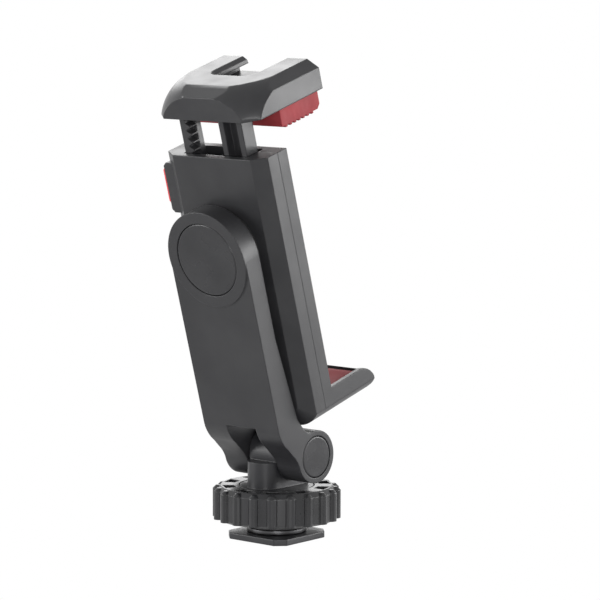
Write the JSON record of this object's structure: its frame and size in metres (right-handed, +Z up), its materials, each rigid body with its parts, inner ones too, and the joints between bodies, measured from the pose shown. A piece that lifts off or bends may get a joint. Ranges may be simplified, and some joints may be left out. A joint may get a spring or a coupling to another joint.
{
  "type": "tripod phone mount adapter",
  "caption": "Spring-button ratchet clamp on a tilting arm over a shoe foot with a lock wheel and a tripod thread, with an accessory shoe on the top jaw.",
  "frame": {"origin": "centre of the shoe foot's underside, where the tripod thread opens", "axes": "+Z up the stud, +X along the tilt hinge, +Y towards the side that holds the device"},
  "size_m": [0.0341, 0.0472, 0.1159],
  "materials": {
    "black_plastic": "satin black moulding",
    "cap_plastic": "satin black moulding",
    "black_metal": "satin black coat on aluminium",
    "bright_steel": "bright plated steel",
    "black_steel": "blackened steel",
    "brass": "plain turned brass",
    "red_rubber": "soft red rubber",
    "red_plastic": "satin red moulding",
    "black_rubber": "soft black rubber"
  },
  "bodies": {
    "base": {"shoe_foot": "black_metal", "hinge_post": "black_metal"},
    "washer": {"clamp_washer": "black_steel"},
    "wheel": {"lock_wheel": "black_plastic", "wheel_insert": "brass"},
    "arm": {"swing_arm": "black_plastic", "hinge_bolt": "bright_steel", "hinge_nut": "bright_steel", "hinge_cap_left": "cap_plastic", "hinge_cap_right": "cap_plastic", "pivot_cap": "cap_plastic", "pivot_washer": "bright_steel"},
    "clamp": {"rear_shell": "black_plastic", "front_shell": "black_plastic", "lower_pad": "red_rubber", "back_pad": "black_rubber", "shell_screws": "black_steel", "pivot_screw": "black_steel", "pivot_nut": "bright_steel", "friction_ring": "black_rubber", "button_spring": "bright_steel"},
    "jaw": {"jaw_slide": "black_plastic", "jaw_head": "black_plastic", "upper_pad": "red_rubber"},
    "button": {"release_button": "red_plastic", "lock_pawl": "red_plastic"}
  },
  "joints": [
    {"name": "wheel_travel", "type": "slide", "parent": "base", "child": "washer", "axis": [0, 0, 1], "range_m": [0, 0.00125]},
    {"name": "wheel_spin", "type": "hinge", "parent": "washer", "child": "wheel", "pos_m": [0, 0, 0], "axis": [0, 0, 1], "range_deg": [0, 283.5]},
    {"name": "arm_tilt", "type": "hinge", "parent": "base", "child": "arm", "pos_m": [0, 0.0008, 0.02084], "axis": [1, 0, 0], "range_deg": [-76, 46]},
    {"name": "clamp_swivel", "type": "hinge", "parent": "arm", "child": "clamp", "pos_m": [0, -0.01412, 0.07253], "axis": [0, 0.9608, 0.2773], "continuous": true},
    {"name": "jaw_slide", "type": "slide", "parent": "clamp", "child": "jaw", "axis": [0, 0.2773, -0.9608], "range_m": [-0.02, 0.0085]},
    {"name": "button_press", "type": "slide", "parent": "clamp", "child": "button", "axis": [1, 0, 0], "range_m": [0, 0.0015], "stiffness_N_per_m": 1000, "springref_m": -0.001, "deforming": ["button_spring"]}
  ],
  "couplings": [
    {"joint": "wheel_spin", "follows": "wheel_travel", "rad_per_m": 3957.9}
  ]
}
